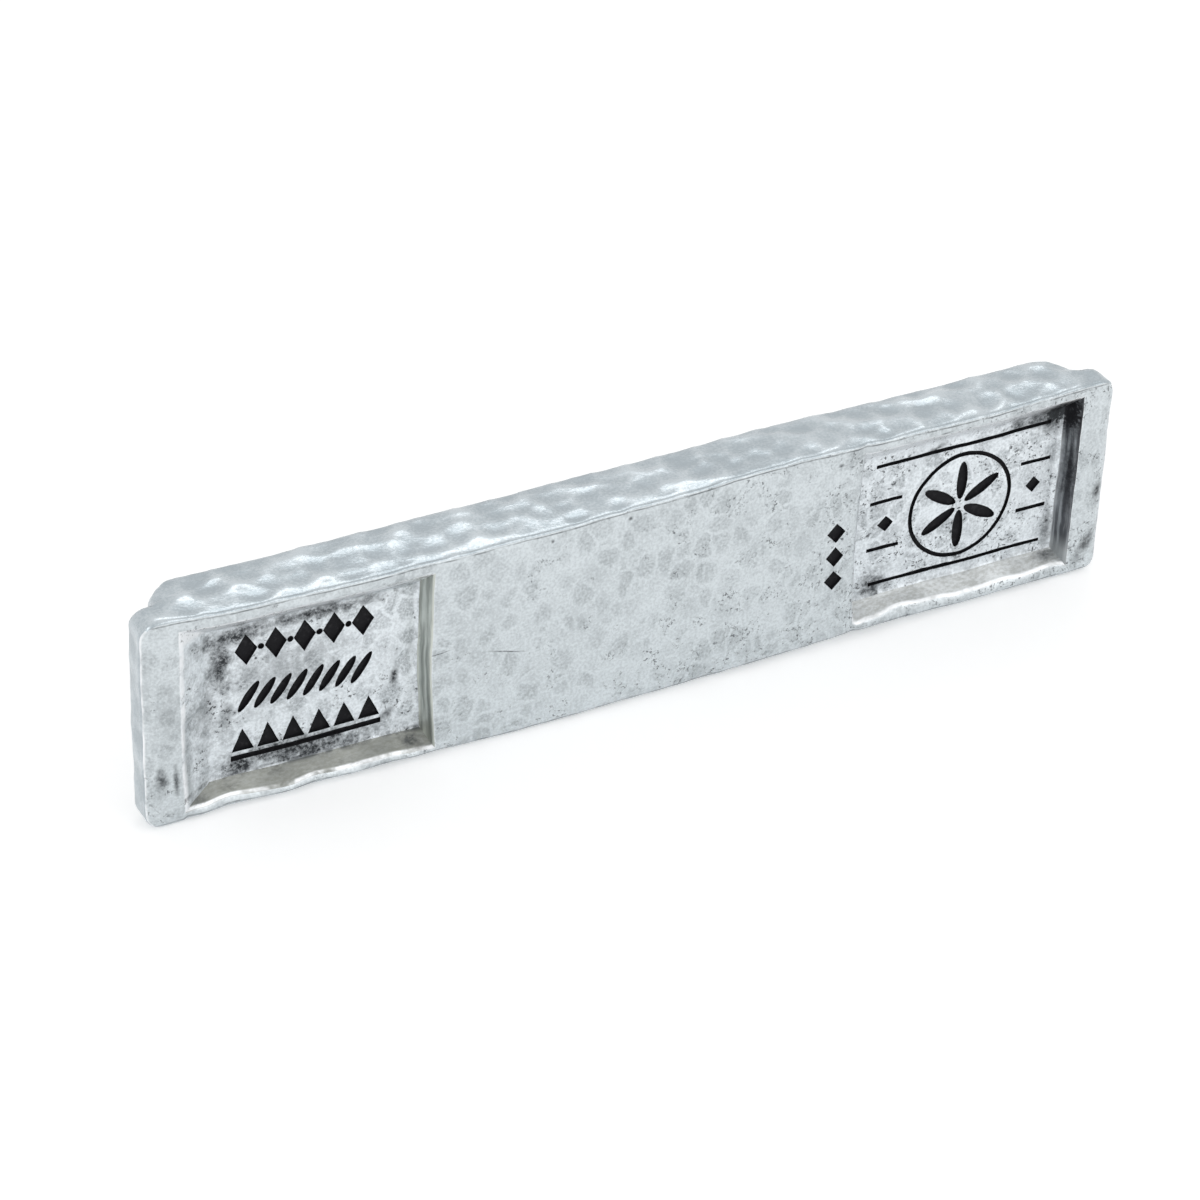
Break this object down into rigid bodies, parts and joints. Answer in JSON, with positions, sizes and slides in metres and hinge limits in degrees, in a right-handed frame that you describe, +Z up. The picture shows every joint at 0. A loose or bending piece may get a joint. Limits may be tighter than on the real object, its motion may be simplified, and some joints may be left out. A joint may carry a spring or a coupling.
{
  "type": "tin ingot",
  "caption": "Small cast tin bar with lugged, sloping ends and shallow sunk panels in its face, standing on one long side.",
  "frame": {"origin": "under the middle of the bar, on the surface that it stands on", "axes": "+X along the bar, +Y from the face towards the back, +Z up across the bar's width"},
  "size_m": [0.1, 0.0076, 0.0221],
  "materials": {
    "tin": "satin"
  },
  "bodies": {
    "root": {"ingot": "tin"}
  },
  "joints": []
}
